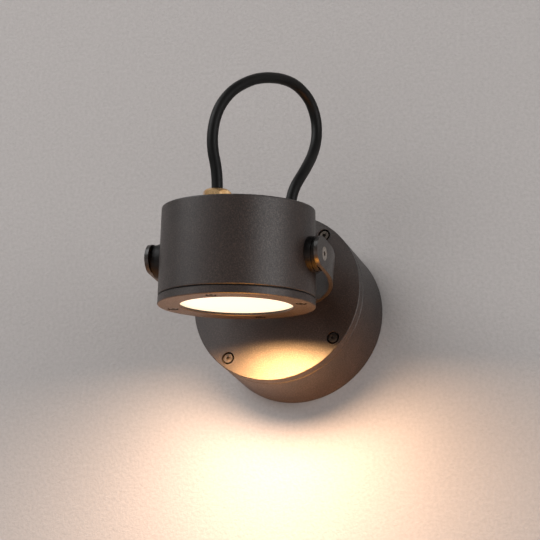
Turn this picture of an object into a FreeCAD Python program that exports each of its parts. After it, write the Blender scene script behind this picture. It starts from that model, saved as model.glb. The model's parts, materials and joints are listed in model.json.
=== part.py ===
import FreeCAD, Part
import math
import os
import re
import Sketcher

# Pivoting spotlight wall light, in millimetres.
# +Z is up, the wall is the plane Y = 0 and the light stands out from it towards -Y.
# The origin is the centre of the drum's back, on the wall.
# The drum holds the supply, a bent strap swivels on its cover, and the spot head tilts in the strap.

Vector = FreeCAD.Vector
X_AXIS = Vector(1, 0, 0)
Z_AXIS = Vector(0, 0, 1)

doc = FreeCAD.newDocument("wall_spotlight")
sheet = doc.addObject("Spreadsheet::Sheet", "Sizes")

# Driving sizes: name, value and what it is.
SIZES = [
    # drum on the wall
    ("base_radius", 58, "outside of the drum and its cover"),
    ("base_depth", 50.5, "from the wall to the front of the cover"),
    ("cover_thickness", 7.2, "cover at its rim"),
    ("cover_skin", 4, "cover between its rim and its middle boss"),
    ("cover_rim_width", 12, "solid rim that takes the screws"),
    ("cover_boss_radius", 12, "boss round the swivel bolt"),
    ("drum_wall", 3.5, "side of the drum"),
    ("drum_floor", 3.5, "back of the drum"),
    ("edge_break", 0.4, "small bevel on outer edges"),
    ("seam_break", 0.5, "bevels that make the seam line"),
    ("wall_gasket_inset", 5.3, "from the drum's outside to the gasket"),
    ("wall_gasket_width", 5, ""),
    ("wall_gasket_depth", 1.6, ""),
    ("cover_gasket_inset", 1.1, "from the drum's outside to the gasket"),
    ("cover_gasket_width", 1.6, ""),
    ("cover_gasket_depth", 1, ""),
    ("screw_inset", 6.4, "cover screws, from the drum's outside"),
    ("screw_turn", 54.16, "angle of the first cover screw from +X"),
    ("screw_post_radius", 5, ""),
    ("screw_size", 4, "thread diameter"),
    ("screw_head", 7.6, "head diameter"),
    ("screw_head_height", 2.2, ""),
    ("screw_length", 14, "under the head"),
    ("screw_socket", 2.5, "across the flats"),
    ("recess_size", 8.6, "counterbore diameter in the cover"),
    ("recess_depth", 2.6, ""),
    ("through_gap", 0.2, "round a screw in a plain hole"),
    ("thread_gap", 0.02, "round a screw in its thread"),
    ("blind_floor", 1, "left under a blind hole"),
    ("overrun", 1, "how far a cut runs past the face where it ends"),
    ("rooting", 0.5, "how far a boss or post reaches into the wall it stands on"),
    ("rubbing_gap", 0.02, "between faces that turn on each other"),
    ("wall_hole_size", 5.2, "holes for the screws into the wall"),
    ("wall_hole_inset", 18, "those holes, from the drum's outside"),
    ("inlet_offset", 12, "mains inlet, to the left of the middle"),
    ("inlet_height", 34, "mains inlet, above the middle"),
    ("inlet_size", 16, "hole for the grommet"),
    ("grommet_bore", 8, ""),
    ("grommet_lip", 2, "how far its lips stand out round the hole"),
    ("grommet_lip_depth", 1.2, "each lip, and the recess for the one at the back"),
    # what the drum holds
    ("driver_length", 60, ""),
    ("driver_width", 30, ""),
    ("driver_depth", 21, ""),
    ("driver_drop", 18, "its middle, below the middle of the drum"),
    ("driver_tab", 8, "length of each fixing tab"),
    ("driver_tab_width", 10, ""),
    ("driver_tab_depth", 2.5, ""),
    ("driver_boss_height", 3, ""),
    ("small_screw", 3, "thread diameter"),
    ("small_screw_head", 5.5, ""),
    ("small_screw_head_height", 1.8, ""),
    ("small_screw_socket", 2, ""),
    ("small_screw_length", 6, ""),
    ("small_hole_extra", 0.5, "how far its hole goes on under it"),
    ("terminal_length", 28, ""),
    ("terminal_width", 14, ""),
    ("terminal_depth", 16, ""),
    ("terminal_height", 13, "its middle, above the middle of the drum"),
    ("terminal_pitch", 9, ""),
    ("terminal_bore", 4, "wire holes"),
    ("terminal_bore_level", 9.6, "the middle of those holes, from the drum's floor"),
    ("terminal_screw_length", 18, ""),
    ("clamp_socket", 1.5, ""),
    ("clamp_clearance", 0.3, "from a clamp screw to the block's face"),
    ("earth_across", 32, "earth post, to the left of the middle"),
    ("earth_up", 18, "earth post, above the middle"),
    ("earth_post_radius", 4.5, ""),
    ("earth_post_height", 7, ""),
    ("earth_washer_depth", 1, ""),
    # swivel in the middle of the cover
    ("bolt_size", 8, "shank diameter"),
    ("bolt_head", 13, ""),
    ("bolt_head_height", 4.5, ""),
    ("bolt_socket", 5, ""),
    ("bolt_gap", 0.05, "running fit in the cover"),
    ("liner_radius", 11, "friction ring between cover and strap"),
    ("liner_depth", 1, ""),
    ("bolt_washer_radius", 8, ""),
    ("bolt_washer_depth", 1.2, ""),
    ("inner_washer_radius", 10, ""),
    ("inner_washer_depth", 1.6, ""),
    ("nut_size", 13, "across the flats"),
    ("nut_height", 6.5, ""),
    ("bolt_past_nut", 1.5, ""),
    # bent strap
    ("strap_thickness", 2.5, ""),
    ("strap_width", 19, ""),
    ("strap_flat_margin", 3.4, "flat middle beyond the friction ring, at each side"),
    ("strap_corner_radius", 20, "bend beside the flat middle, outside"),
    ("strap_straight", 6.3, "from the pivot back to where the arm begins to bend"),
    ("strap_tip_reach", 14.1, "from the pivot to the end of the arm"),
    ("strap_tip_flat", 0.02, "left between the two fillets that round each end"),
    ("head_swing_gap", 4.3, "between the swivel bolt and the turning head"),
    # spot head, measured from its own middle, which is on the tilt axis
    ("head_tilt", 10.2, "rest pose: the light points a little to the wall"),
    ("head_radius", 50, "at the light end"),
    ("head_draft", 1.25, "how much less it is at the closed end"),
    ("head_height", 62.2, ""),
    ("head_wall", 3.35, "at the closed end"),
    ("head_top_wall", 4, ""),
    ("head_edge_radius", 0.8, ""),
    ("ring_depth", 5.2, "front ring"),
    ("ring_lip", 1.2, "ring in front of the glass"),
    ("ring_width", 14.2, "from the outside to the opening"),
    ("head_gasket_depth", 0.6, ""),
    ("head_gasket_inset", 1, "makes the dark line round the head"),
    ("head_gasket_width", 2.6, ""),
    ("glass_seat", 2.4, "how far the glass reaches under the ring's lip"),
    ("glass_depth", 4, ""),
    ("glass_gap", 0.2, "round the glass"),
    ("lens_gasket_depth", 0.6, ""),
    ("lens_gasket_width", 1.8, ""),
    ("ring_screw_inset", 6.8, "ring screws, from the outside"),
    ("ring_screw_head", 6.6, ""),
    ("ring_recess_size", 7.2, ""),
    ("ring_recess_depth", 2.4, ""),
    ("ring_screw_length", 13, ""),
    ("lug_radius", 3.8, "lugs that take the ring screws"),
    ("lug_height", 15, ""),
    ("reflector_skin", 1.4, ""),
    ("reflector_neck", 15, "inner radius at the LED"),
    ("spreader_inset", 6.8, "heat spreader, from the inside of the head"),
    ("spreader_depth", 4, ""),
    ("spreader_level", 8, "its lower face above the tilt axis"),
    ("spreader_post_circle", 30, ""),
    ("spreader_post_radius", 4, ""),
    ("board_radius", 22, ""),
    ("board_depth", 1.6, ""),
    ("chip_size", 19, ""),
    ("chip_depth", 1, ""),
    ("pivot_boss_radius", 11.4, ""),
    ("pivot_boss_stand", 2.5, "face of each boss beyond the light end"),
    ("pivot_inner_radius", 7, "inner boss round the pivot screw"),
    ("pivot_inner_depth", 5.4, "how far it stands into the head"),
    ("pivot_washer_radius", 10.8, ""),
    ("pivot_washer_depth", 3.18, ""),
    ("pivot_land_radius", 6, "raised middle of each pivot washer"),
    ("pivot_land_height", 0.2, "keeps its rim off the bend of the strap"),
    ("pivot_screw", 5, "thread diameter"),
    ("pivot_screw_flare", 1.9, "how far its countersunk head stands out all round"),
    ("pivot_screw_length", 16, "over all"),
    ("pivot_screw_socket", 3, ""),
    ("pivot_gap", 0.05, "running fit of the strap on the screws"),
    # cable glands, the same at both ends of the flex
    ("gland_across", 15, "middle of each gland from the middle plane"),
    ("gland_up", 38, "gland in the cover, above the middle"),
    ("gland_flats", 17, "across the flats"),
    ("gland_flange", 4.8, "height of the hexagon on the body"),
    ("gland_thread", 12, "spigot diameter"),
    ("gland_spigot", 9, "length of the spigot"),
    ("gland_neck", 14, "neck inside the nut"),
    ("gland_neck_height", 3.2, ""),
    ("gland_bore_gap", 0.35, "round the flex in the body"),
    ("gland_seal_size", 12.4, ""),
    ("gland_seal_height", 2.3, ""),
    ("gland_height", 13.5, "over all, above its seat"),
    ("gland_dome_extra", 2.9, "radius of the domed nut beyond half its flats"),
    ("gland_mouth_gap", 0.1, "round the flex in the nut"),
    ("gland_nut_gap", 0.2, "between the two hexagons"),
    ("lock_nut_height", 3.2, ""),
    ("lock_nut_room", 0.7, "round its corners"),
    # flex
    ("flex_size", 7.3, "outer diameter"),
    ("flex_tail", 13, "held end, below the seat of its gland"),
    ("flex_straight", 11, "straight length that leaves the head's gland"),
]

for row, (name, value, note) in enumerate(SIZES, start=1):
    sheet.set("A%d" % row, name)
    sheet.set("B%d" % row, str(value))
    sheet.setAlias("B%d" % row, name)
    sheet.set("C%d" % row, note)
doc.recompute()

# Sizes that follow from the driving ones.
DERIVED = {
    "screw_circle": "base_radius - screw_inset",
    "wall_hole_offset": "base_radius - wall_hole_inset",
    "cover_back": "base_depth - cover_thickness",  # where drum and cover meet
    "liner_front": "base_depth + liner_depth",
    "strap_front": "liner_front + strap_thickness",  # of its flat middle
    "bolt_seat": "strap_front + bolt_washer_depth",
    "head_sweep": "sqrt(head_radius^2 + (head_height / 2)^2)",  # all that the turning head reaches
    "pivot_distance": "bolt_seat + bolt_head_height + head_swing_gap + head_sweep",
    "pivot_boss_reach": "head_radius + pivot_boss_stand",
    "strap_inner_span": "pivot_boss_reach + pivot_washer_depth + rubbing_gap",
    "strap_half_span": "strap_inner_span + strap_thickness",
    "strap_bend_start": "pivot_distance - strap_straight",
    "strap_side": "strap_half_span - liner_radius - strap_flat_margin",  # from the flat to the arm
    "strap_rise": "strap_bend_start - liner_front - strap_corner_radius",
    # outside radius of the long bend that runs smoothly from the arm into the corner's bend
    "strap_bend_radius": "(strap_side^2 + strap_rise^2 - strap_corner_radius^2)"
    " / (2 * (strap_side - strap_corner_radius))",
    "strap_tip": "pivot_distance + strap_tip_reach",
    "head_top": "head_height / 2",
    "head_face": "-head_height / 2",  # front of the ring, where the light comes out
    "head_top_radius": "head_radius - head_draft",
    "head_inner_radius": "head_top_radius - head_wall",
    "ring_top": "head_face + ring_depth",
    "ring_top_radius": "head_radius - head_draft * ring_depth / head_height",
    "housing_end": "ring_top + head_gasket_depth",
    "housing_end_radius": "ring_top_radius - head_draft * head_gasket_depth / head_height",
    "light_radius": "head_radius - ring_width",
    "glass_radius": "light_radius + glass_seat",
    "glass_front": "head_face + ring_lip + lens_gasket_depth",
    "glass_back": "glass_front + glass_depth",
    "ring_screw_circle": "head_radius - ring_screw_inset",
    "spreader_radius": "head_inner_radius - spreader_inset",
    "board_level": "spreader_level - board_depth",
    "pivot_inner_reach": "head_inner_radius - pivot_inner_depth",
    "pivot_screw_head": "pivot_screw + 2 * pivot_screw_flare",
    "gland_bore": "flex_size + 2 * gland_bore_gap",
    "gland_dome": "gland_flats / 2 + gland_dome_extra",
    "nut_bottom": "gland_flange + gland_nut_gap",
    "seal_bottom": "gland_flange + gland_neck_height",
}

NAMES = {name for name, value, note in SIZES}


def linked(expression):
    """The expression with derived sizes written out and driving ones pointing at the sheet."""

    def written(word):
        name = word.group(0)
        if name in DERIVED:
            return "(%s)" % linked(DERIVED[name])
        return "Sizes." + name if name in NAMES else name

    return re.sub(r"[a-z_]+", written, str(expression))


def size(expression):
    """The number that an expression of size names gives."""
    return float(sheet.evalExpression(linked(expression)))


def bind(thing, prop, expression):
    thing.setExpression(prop, linked(expression))


# ---------------------------------------------------------------- sketches and features


def new_body(label):
    body = doc.addObject("PartDesign::Body", label)
    body.Label = label
    return body


def origin_plane(body, role):
    return next(item for item in body.Origin.OriginFeatures if item.Role == role)


def new_sketch(body, role, offset="0"):
    """An empty sketch on one of the body's planes, moved along that plane's normal.

    XY_Plane looks along Z, XZ_Plane has its normal towards -Y and YZ_Plane towards +X."""
    sketch = body.newObject("Sketcher::SketchObject", body.Label + "_sketch")
    sketch.AttachmentSupport = (origin_plane(body, role), [""])
    sketch.MapMode = "FlatFace"
    bind(sketch, "AttachmentOffset.Base.z", offset)
    return sketch


def hold(sketch, kind, element, point, expression):
    """Keeps a sketch point at a distance from the sketch's origin, along X or Y."""
    if str(expression) == "0":
        axis = -2 if kind == "DistanceX" else -1
        sketch.addConstraint(Sketcher.Constraint("PointOnObject", element, point, axis))
        return
    value = size(expression)
    index = sketch.addConstraint(Sketcher.Constraint(kind, -1, 1, element, point, value))
    bind(sketch, "Constraints[%d]" % index, expression)


def outline(sketch, corners):
    """A closed outline of straight lines through corners given as expressions."""
    points = [Vector(size(across), size(along), 0) for across, along in corners]
    first = sketch.GeometryCount
    count = len(points)
    for index in range(count):
        sketch.addGeometry(Part.LineSegment(points[index], points[(index + 1) % count]))
    for index in range(count):
        following = first + (index + 1) % count
        sketch.addConstraint(Sketcher.Constraint("Coincident", first + index, 2, following, 1))
    for index, (across, along) in enumerate(corners):
        hold(sketch, "DistanceX", first + index, 1, across)
        hold(sketch, "DistanceY", first + index, 1, along)


def circle(sketch, across, along, radius):
    centre = Vector(size(across), size(along), 0)
    index = sketch.addGeometry(Part.Circle(centre, Z_AXIS, size(radius)))
    hold(sketch, "DistanceX", index, 3, across)
    hold(sketch, "DistanceY", index, 3, along)
    held = sketch.addConstraint(Sketcher.Constraint("Radius", index, size(radius)))
    bind(sketch, "Constraints[%d]" % held, radius)


def box_outline(left, bottom, width, height):
    right = "(%s) + (%s)" % (left, width)
    top = "(%s) + (%s)" % (bottom, height)
    return [(left, bottom), (right, bottom), (right, top), (left, top)]


def turned(body, role, corners):
    """Adds the outline turned round the sketch's upright axis."""
    sketch = new_sketch(body, role)
    outline(sketch, corners)
    feature = body.newObject("PartDesign::Revolution", body.Label + "_turned")
    feature.Profile = sketch
    feature.ReferenceAxis = (sketch, ["V_Axis"])
    feature.Angle = 360
    sketch.Visibility = False
    doc.recompute()
    return feature


def volume_drop(body, feature, set_direction):
    """Makes sure that a cut removes material, and turns it round if it points away."""
    doc.recompute()
    before = feature.BaseFeature.Shape.Volume
    if feature.Shape.isNull() or feature.Shape.Volume > before - 1e-3:
        set_direction()
        doc.recompute()
    if feature.Shape.Volume > before - 1e-3:
        raise RuntimeError("%s: a cut in it removes nothing" % body.Label)


def turned_cut(body, role, corners):
    sketch = new_sketch(body, role)
    outline(sketch, corners)
    feature = body.newObject("PartDesign::Groove", body.Label + "_groove")
    feature.Profile = sketch
    feature.ReferenceAxis = (sketch, ["V_Axis"])
    feature.Angle = 360
    volume_drop(body, feature, lambda: setattr(feature, "Reversed", True))
    return feature


def pad(body, sketch, length, both_ways=False):
    feature = body.newObject("PartDesign::Pad", body.Label + "_pad")
    feature.Profile = sketch
    bind(feature, "Length", length)
    if both_ways:
        feature.SideType = "Symmetric"
    doc.recompute()
    return feature


def pocket(body, sketch, length, both_ways=False):
    feature = body.newObject("PartDesign::Pocket", body.Label + "_pocket")
    feature.Profile = sketch
    bind(feature, "Length", length)
    if both_ways:
        feature.SideType = "Symmetric"
    volume_drop(body, feature, lambda: setattr(feature, "Reversed", True))
    return feature


def round_pad(body, role, offset, length, across, along, radius):
    sketch = new_sketch(body, role, offset)
    circle(sketch, across, along, radius)
    return pad(body, sketch, length)


def round_hole(body, role, offset, length, across, along, radius, both_ways=False):
    sketch = new_sketch(body, role, offset)
    circle(sketch, across, along, radius)
    return pocket(body, sketch, length, both_ways)


def repeat_round(body, features, axis_role, count):
    """Repeats features round one of the body's axes."""
    pattern = body.newObject("PartDesign::PolarPattern", body.Label + "_pattern")
    pattern.Originals = features
    pattern.Axis = (origin_plane(body, axis_role), [""])
    pattern.Angle = 360
    pattern.Occurrences = count
    body.Tip = pattern
    doc.recompute()
    return pattern


def edges_where(shape, test):
    return ["Edge%d" % (index + 1) for index, edge in enumerate(shape.Edges) if test(edge)]


def is_circle(edge, radius, centre_test):
    """Whether an edge is a circle of that radius whose centre passes the test."""
    curve = edge.Curve
    return (
        isinstance(curve, Part.Circle)
        and abs(curve.Radius - radius) < 1e-4
        and centre_test(curve.Center)
    )


def dress(body, kind, edges, prop, expression):
    """A fillet or chamfer on edges of the body's last feature."""
    if not edges:
        raise RuntimeError("%s: no edge to %s" % (body.Label, kind))
    base = body.Tip
    feature = body.newObject("PartDesign::" + kind, body.Label + "_" + kind.lower())
    feature.Base = (base, edges)
    bind(feature, prop, expression)
    doc.recompute()
    return feature


# ---------------------------------------------------------------- places


def place(thing, across="0", out="0", up="0", turn_axis=None, turn=None):
    """Puts a sub-part at X = across, Y = -out, Z = up, turned about one axis."""
    rotation = FreeCAD.Rotation()
    if turn_axis is not None:
        rotation = FreeCAD.Rotation(turn_axis, size(turn))
    thing.Placement = FreeCAD.Placement(Vector(size(across), -size(out), size(up)), rotation)
    bind(thing, "Placement.Base.x", across)
    bind(thing, "Placement.Base.y", "-(%s)" % out)
    bind(thing, "Placement.Base.z", up)
    if turn_axis is not None:
        bind(thing, "Placement.Rotation.Angle", turn)


def place_on_head(thing, across="0", level="0"):
    """Puts a sub-part that is modelled round the head's own axis on the tilted head."""
    out = "pivot_distance + sin(head_tilt) * (%s)" % level
    up = "cos(head_tilt) * (%s)" % level
    place(thing, across, out, up, X_AXIS, "head_tilt")


def place_at_cover(thing, across="0", out="0", up="0"):
    """Puts a sub-part that is modelled along Z so that its Z points out of the cover."""
    place(thing, across, out, up, X_AXIS, "90")


# ---------------------------------------------------------------- primitives


def bar(name, radius, height, across="0", along="0", level="0"):
    solid = doc.addObject("Part::Cylinder", name)
    bind(solid, "Radius", radius)
    bind(solid, "Height", height)
    bind(solid, "Placement.Base.x", across)
    bind(solid, "Placement.Base.y", along)
    bind(solid, "Placement.Base.z", level)
    return solid


def hexagon(name, flats, height, level="0"):
    solid = doc.addObject("Part::Prism", name)
    solid.Polygon = 6
    bind(solid, "Circumradius", "(%s) / sqrt(3)" % flats)
    bind(solid, "Height", height)
    bind(solid, "Placement.Base.z", level)
    return solid


def joined(name, solids):
    whole = doc.addObject("Part::MultiFuse", name)
    whole.Shapes = solids
    return whole


def less(name, base, tool):
    cut = doc.addObject("Part::Cut", name)
    cut.Base = base
    cut.Tool = tool
    return cut


def ring(label, outer, inner, depth, level="0"):
    """A flat ring round Z: a washer, liner, gasket or seal."""
    rim = bar(label + "_rim", outer, depth, level=level)
    hole = bar(label + "_hole", inner, "(%s) + 2 * overrun" % depth, level="(%s) - overrun" % level)
    piece = less(label, rim, hole)
    piece.Label = label
    return piece


def group(label, pieces):
    """Separate solids of one kind, kept as one sub-part."""
    whole = doc.addObject("Part::Compound", label)
    whole.Label = label
    whole.Links = pieces
    return whole


HEAD_SLOPE = 0.35  # how far a screw's head draws in towards its top, as a share of its height
SOCKET_SHARE = 0.6  # depth of a screw's socket, as a share of its width


def socket_screw(name, thread, head, head_height, length, socket, sunk=False):
    """A hexagon socket screw along Z, with its head above Z = 0, or below it where it is countersunk."""
    shank = bar(name + "_shank", "(%s) / 2" % thread, length, level="-(%s)" % length)
    if sunk:
        top = doc.addObject("Part::Cone", name + "_head")
        bind(top, "Radius1", "(%s) / 2" % thread)
        bind(top, "Radius2", "(%s) / 2" % head)
        bind(top, "Height", "((%s) - (%s)) / 2" % (head, thread))
        bind(top, "Placement.Base.z", "((%s) - (%s)) / 2" % (thread, head))
        socket_top = "0"
    else:
        top = doc.addObject("Part::Cone", name + "_head")
        bind(top, "Radius1", "(%s) / 2" % head)
        bind(top, "Radius2", "(%s) / 2 - (%s) * %s" % (head, head_height, HEAD_SLOPE))
        bind(top, "Height", head_height)
        socket_top = head_height
    socket_depth = "(%s) * %s" % (socket, SOCKET_SHARE)
    hollow = hexagon(
        name + "_socket",
        socket,
        "(%s) + overrun" % socket_depth,
        "(%s) - (%s)" % (socket_top, socket_depth),
    )
    return less(name, joined(name + "_solid", [shank, top]), hollow)


# ---------------------------------------------------------------- drum on the wall


def screw_across():
    return "screw_circle * cos(screw_turn)"


def screw_up():
    return "screw_circle * sin(screw_turn)"


def make_base_housing():
    """Cast drum, open to the front, with posts for the cover screws and seats for what it holds."""
    body = new_body("base_housing")
    gasket_outer = "base_radius - wall_gasket_inset"
    gasket_inner = gasket_outer + " - wall_gasket_width"
    turned(
        body,
        "XY_Plane",
        [
            ("0", "0"),
            (gasket_inner, "0"),
            (gasket_inner, "-wall_gasket_depth"),
            (gasket_outer, "-wall_gasket_depth"),
            (gasket_outer, "0"),
            ("base_radius - edge_break", "0"),
            ("base_radius", "-edge_break"),
            ("base_radius", "seam_break - cover_back"),
            ("base_radius - seam_break", "-cover_back"),
            ("base_radius - drum_wall", "-cover_back"),
            ("base_radius - drum_wall", "-drum_floor"),
            ("0", "-drum_floor"),
        ],
    )
    # posts for the cover screws
    post = round_pad(
        body,
        "XZ_Plane",
        "drum_floor",
        "cover_back - drum_floor",
        screw_across(),
        screw_up(),
        "screw_post_radius",
    )
    repeat_round(body, [post], "Y_Axis", 4)
    # bosses for the supply and the earth screw
    sketch = new_sketch(body, "XZ_Plane", "drum_floor")
    for side in ("-", ""):
        across = side + "(driver_length + driver_tab) / 2"
        circle(sketch, across, "-driver_drop", "small_screw")
    pad(body, sketch, "driver_boss_height")
    round_pad(
        body,
        "XZ_Plane",
        "drum_floor",
        "earth_post_height",
        "-earth_across",
        "earth_up",
        "earth_post_radius",
    )
    # groove for the cover's gasket, cut through the rim and the posts alike
    outer = "base_radius - cover_gasket_inset"
    inner = outer + " - cover_gasket_width"
    turned_cut(
        body,
        "XY_Plane",
        [
            (inner, "-cover_back - overrun"),
            (outer, "-cover_back - overrun"),
            (outer, "cover_gasket_depth - cover_back"),
            (inner, "cover_gasket_depth - cover_back"),
        ],
    )
    # threaded holes
    hole = round_hole(
        body,
        "XZ_Plane",
        "cover_back",
        "screw_length",
        screw_across(),
        screw_up(),
        "screw_size / 2 + thread_gap",
    )
    repeat_round(body, [hole], "Y_Axis", 4)
    sketch = new_sketch(body, "XZ_Plane", "drum_floor + driver_boss_height")
    for side in ("-", ""):
        across = side + "(driver_length + driver_tab) / 2"
        circle(sketch, across, "-driver_drop", "small_screw / 2 + thread_gap")
    pocket(body, sketch, "small_screw_length - driver_tab_depth + small_hole_extra")
    round_hole(
        body,
        "XZ_Plane",
        "drum_floor + earth_post_height",
        "earth_post_height",
        "-earth_across",
        "earth_up",
        "screw_size / 2 + thread_gap",
    )
    # hole under the terminal block's screw
    round_hole(
        body,
        "XZ_Plane",
        "drum_floor",
        "drum_floor - blind_floor",
        "0",
        "terminal_height",
        "small_screw / 2 + thread_gap",
    )
    # recess for the back lip of the grommet
    round_hole(
        body,
        "XZ_Plane",
        "0",
        "grommet_lip_depth",
        "-inlet_offset",
        "inlet_height",
        "inlet_size / 2 + grommet_lip",
    )
    # holes through the back: two for the wall, one for the mains
    sketch = new_sketch(body, "XZ_Plane", "drum_floor")
    circle(sketch, "-wall_hole_offset", "0", "wall_hole_size / 2")
    circle(sketch, "wall_hole_offset", "0", "wall_hole_size / 2")
    circle(sketch, "-inlet_offset", "inlet_height", "inlet_size / 2")
    pocket(body, sketch, "drum_floor + overrun")
    return body


def make_wall_gasket():
    outer = "base_radius - wall_gasket_inset"
    piece = ring("wall_gasket", outer, outer + " - wall_gasket_width", "wall_gasket_depth")
    place_at_cover(piece)
    return piece


def make_cover_gasket():
    outer = "base_radius - cover_gasket_inset"
    piece = ring("cover_gasket", outer, outer + " - cover_gasket_width", "cover_gasket_depth")
    place_at_cover(piece, out="cover_back - cover_gasket_depth")
    return piece


def make_front_cover():
    """Round cover: a solid rim for the screws, a thinner web, and a boss for the swivel bolt."""
    body = new_body("front_cover")
    web_back = "cover_skin - base_depth"
    turned(
        body,
        "XY_Plane",
        [
            ("0", "-base_depth"),
            ("base_radius - edge_break", "-base_depth"),
            ("base_radius", "edge_break - base_depth"),
            ("base_radius", "-cover_back - seam_break"),
            ("base_radius - seam_break", "-cover_back"),
            ("base_radius - cover_rim_width", "-cover_back"),
            ("base_radius - cover_rim_width", web_back),
            ("cover_boss_radius", web_back),
            ("cover_boss_radius", "-cover_back"),
            ("0", "-cover_back"),
        ],
    )
    hole = round_hole(
        body,
        "XZ_Plane",
        "base_depth",
        "cover_thickness + overrun",
        screw_across(),
        screw_up(),
        "screw_size / 2 + through_gap",
    )
    recess = round_hole(
        body,
        "XZ_Plane",
        "base_depth",
        "recess_depth",
        screw_across(),
        screw_up(),
        "recess_size / 2",
    )
    repeat_round(body, [hole, recess], "Y_Axis", 4)
    sketch = new_sketch(body, "XZ_Plane", "base_depth")
    circle(sketch, "0", "0", "bolt_size / 2 + bolt_gap")
    circle(sketch, "gland_across", "gland_up", "gland_thread / 2 + thread_gap")
    pocket(body, sketch, "cover_thickness + overrun")
    # room for the gland's locknut, which reaches into the rim
    round_hole(
        body,
        "XZ_Plane",
        "base_depth - cover_skin",
        "cover_thickness - cover_skin + overrun",
        "gland_across",
        "gland_up",
        "gland_flats / sqrt(3) + lock_nut_room",
    )
    return body


def make_cover_screws():
    screws = []
    for index in range(4):
        name = "cover_screw_%d" % (index + 1)
        screw = socket_screw(
            name, "screw_size", "screw_head", "screw_head_height", "screw_length", "screw_socket"
        )
        turn = "screw_turn + %d" % (90 * index)
        place_at_cover(
            screw,
            "screw_circle * cos(%s)" % turn,
            "base_depth - recess_depth",
            "screw_circle * sin(%s)" % turn,
        )
        screws.append(screw)
    return group("cover_screws", screws)


def make_mains_grommet():
    """Rubber grommet with a lip on each side of the drum's floor, the back one in a recess."""
    body = new_body("mains_grommet")
    turned(
        body,
        "XY_Plane",
        [
            ("grommet_bore / 2", "0"),
            ("inlet_size / 2 + grommet_lip", "0"),
            ("inlet_size / 2 + grommet_lip", "-grommet_lip_depth"),
            ("inlet_size / 2", "-grommet_lip_depth"),
            ("inlet_size / 2", "-drum_floor"),
            ("inlet_size / 2 + grommet_lip", "-drum_floor"),
            ("inlet_size / 2 + grommet_lip", "-drum_floor - grommet_lip_depth"),
            ("grommet_bore / 2", "-drum_floor - grommet_lip_depth"),
        ],
    )
    place(body, "-inlet_offset", "0", "inlet_height")
    return body


CLAMP_HOLE_DEPTH = "terminal_depth - terminal_bore_level - terminal_bore / 2"


def make_terminal_block():
    """Moulded block on the drum's floor, with a wire hole through each way and a fixing hole."""
    body = new_body("terminal_block")
    sketch = new_sketch(body, "XZ_Plane", "drum_floor")
    outline(
        sketch,
        box_outline(
            "-terminal_length / 2",
            "terminal_height - terminal_width / 2",
            "terminal_length",
            "terminal_width",
        ),
    )
    pad(body, sketch, "terminal_depth")
    # wire holes, along Z
    sketch = new_sketch(body, "XY_Plane", "terminal_height + terminal_width / 2")
    for way in (-1, 1):
        across = "%d * terminal_pitch" % way
        circle(sketch, across, "-(drum_floor + terminal_bore_level)", "terminal_bore / 2")
    pocket(body, sketch, "terminal_width + overrun")
    # clamp screw holes over the wire holes, and the fixing hole in the middle
    sketch = new_sketch(body, "XZ_Plane", "drum_floor + terminal_depth")
    for way in (-1, 1):
        for row in (-1, 1):
            circle(
                sketch,
                "%d * terminal_pitch" % way,
                "terminal_height + %d * terminal_width / 4" % row,
                "small_screw / 2 + thread_gap",
            )
    pocket(body, sketch, CLAMP_HOLE_DEPTH)
    round_hole(
        body,
        "XZ_Plane",
        "drum_floor + terminal_depth",
        "terminal_depth + overrun",
        "0",
        "terminal_height",
        "small_screw / 2 + thread_gap",
    )
    return body


def make_terminal_clamps():
    """Short clamp screws of the terminal block, which press on the wires."""
    clamps = []
    for way in (-1, 1):
        for row in (-1, 1):
            name = "terminal_clamp_%d" % (len(clamps) + 1)
            rod_length = CLAMP_HOLE_DEPTH + " - clamp_clearance"
            clamp = less(
                name,
                bar(name + "_rod", "small_screw / 2", rod_length),
                hexagon(name + "_socket", "clamp_socket", rod_length, "clamp_socket"),
            )
            place_at_cover(
                clamp,
                "%d * terminal_pitch" % way,
                "drum_floor + terminal_bore_level + terminal_bore / 2",
                "terminal_height + %d * terminal_width / 4" % row,
            )
            clamps.append(clamp)
    return group("terminal_clamps", clamps)


def make_terminal_screw():
    piece = socket_screw(
        "terminal_screw",
        "small_screw",
        "small_screw_head",
        "small_screw_head_height",
        "terminal_screw_length",
        "small_screw_socket",
    )
    place_at_cover(piece, "0", "drum_floor + terminal_depth", "terminal_height")
    return piece


def make_led_driver():
    """Closed supply with a fixing tab at each end."""
    body = new_body("led_driver")
    sketch = new_sketch(body, "XZ_Plane", "drum_floor")
    outline(
        sketch,
        box_outline(
            "-driver_length / 2", "-driver_drop - driver_width / 2", "driver_length", "driver_width"
        ),
    )
    pad(body, sketch, "driver_depth")
    sketch = new_sketch(body, "XZ_Plane", "drum_floor + driver_boss_height")
    outline(
        sketch,
        box_outline(
            "-driver_length / 2 - driver_tab",
            "-driver_drop - driver_tab_width / 2",
            "driver_length + 2 * driver_tab",
            "driver_tab_width",
        ),
    )
    pad(body, sketch, "driver_tab_depth")
    sketch = new_sketch(body, "XZ_Plane", "drum_floor + driver_boss_height + driver_tab_depth")
    for side in ("-", ""):
        across = side + "(driver_length + driver_tab) / 2"
        circle(sketch, across, "-driver_drop", "small_screw / 2 + through_gap")
    pocket(body, sketch, "driver_tab_depth + overrun")
    return body


def make_driver_screws():
    screws = []
    for side in ("-", ""):
        name = "driver_screw_%d" % (len(screws) + 1)
        screw = socket_screw(
            name,
            "small_screw",
            "small_screw_head",
            "small_screw_head_height",
            "small_screw_length",
            "small_screw_socket",
        )
        place_at_cover(
            screw,
            side + "(driver_length + driver_tab) / 2",
            "drum_floor + driver_boss_height + driver_tab_depth",
            "-driver_drop",
        )
        screws.append(screw)
    return group("driver_screws", screws)


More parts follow.
